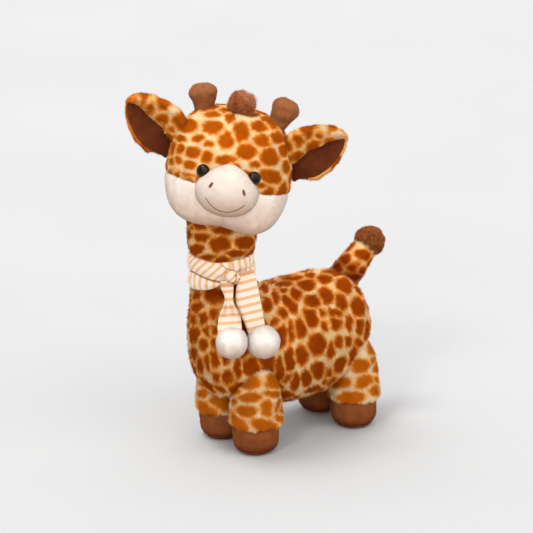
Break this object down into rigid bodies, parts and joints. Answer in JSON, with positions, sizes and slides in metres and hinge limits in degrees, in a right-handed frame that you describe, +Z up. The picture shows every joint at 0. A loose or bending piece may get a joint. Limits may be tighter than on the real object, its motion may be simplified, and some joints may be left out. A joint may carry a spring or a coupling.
{
  "type": "stuffed toy giraffe",
  "caption": "Plush giraffe standing on stuffed hooves, head turned to its left, with a knotted striped scarf that ends in pompoms.",
  "frame": {"origin": "on the ground, at the middle of the box that the whole toy fills", "axes": "+Z up; the toy's body faces -Y, its own left is +X, and its head is turned to its left"},
  "size_m": [0.1495, 0.2874, 0.398],
  "materials": {
    "patched_plush": "short pile plush, rust patches in a pale net",
    "brown_minky": "short smooth pile, matte",
    "brown_fur": "longer tufted pile, matte",
    "cream_minky": "short smooth pile, matte",
    "striped_knit": "fine jersey, cream with thin tan stripes",
    "wadding": "loose polyester wadding, packed",
    "brown_thread": "satin embroidery thread",
    "eye_plastic": "polished",
    "washer_plastic": "moulded"
  },
  "bodies": {
    "torso": {"torso_skin": "patched_plush", "torso_filling": "wadding", "scarf_wrap": "striped_knit", "scarf_knot": "striped_knit", "leg_front_left": "patched_plush", "hoof_front_left": "brown_minky", "leg_front_right": "patched_plush", "hoof_front_right": "brown_minky", "leg_back_left": "patched_plush", "hoof_back_left": "brown_minky", "leg_back_right": "patched_plush", "hoof_back_right": "brown_minky"},
    "neck": {"neck": "patched_plush"},
    "head": {"head_crown": "patched_plush", "cheek_left": "cream_minky", "cheek_right": "cream_minky", "head_filling": "wadding", "muzzle": "cream_minky", "nostril_left": "brown_thread", "nostril_right": "brown_thread", "smile_stitch": "brown_thread", "eye_left": "eye_plastic", "eye_right": "eye_plastic", "eye_washer_left": "washer_plastic", "eye_washer_right": "washer_plastic", "horn_left": "brown_minky", "horn_right": "brown_minky", "forelock": "brown_fur"},
    "ear_left": {"ear_left": "patched_plush", "ear_lining_left": "brown_minky"},
    "ear_right": {"ear_right": "patched_plush", "ear_lining_right": "brown_minky"},
    "tail": {"tail": "patched_plush", "tail_tuft": "brown_minky"},
    "scarf_end_left": {"scarf_end_left": "striped_knit", "pompom_left": "cream_minky"},
    "scarf_end_right": {"scarf_end_right": "striped_knit", "pompom_right": "cream_minky"}
  },
  "joints": [
    {"name": "head_turn", "type": "hinge", "parent": "torso", "child": "neck", "pos_m": [-0.009, -0.0687, 0.2], "axis": [0, 0, 1], "range_deg": [-20, 20], "stiffness_Nm_per_rad": 0.8},
    {"name": "head_nod", "type": "hinge", "parent": "neck", "child": "head", "pos_m": [-0.009, -0.0687, 0.267], "axis": [0.6258, 0.7592, -0.1788], "range_deg": [-10, 10], "stiffness_Nm_per_rad": 2},
    {"name": "ear_flap_left", "type": "hinge", "parent": "head", "child": "ear_left", "pos_m": [0.03702, -0.01258, 0.31698], "axis": [-0.1316, 0.0676, 0.989], "range_deg": [-20, 20], "stiffness_Nm_per_rad": 0.03},
    {"name": "ear_flap_right", "type": "hinge", "parent": "head", "child": "ear_right", "pos_m": [-0.04089, -0.10708, 0.33924], "axis": [0.1286, 0.3833, 0.9146], "range_deg": [-20, 20], "stiffness_Nm_per_rad": 0.03},
    {"name": "tail_lift", "type": "hinge", "parent": "torso", "child": "tail", "pos_m": [-0.009, 0.09531, 0.15769], "axis": [1, 0, 0], "range_deg": [-22, 15], "stiffness_Nm_per_rad": 0.4},
    {"name": "scarf_swing_left", "type": "hinge", "parent": "torso", "child": "scarf_end_left", "pos_m": [0.0315, -0.06622, 0.207], "axis": [-0.5, -0.866, 0], "range_deg": [0, 50]},
    {"name": "scarf_swing_right", "type": "hinge", "parent": "torso", "child": "scarf_end_right", "pos_m": [0.02581, -0.08522, 0.1895], "axis": [-0.5, -0.866, 0], "range_deg": [0, 50]}
  ]
}
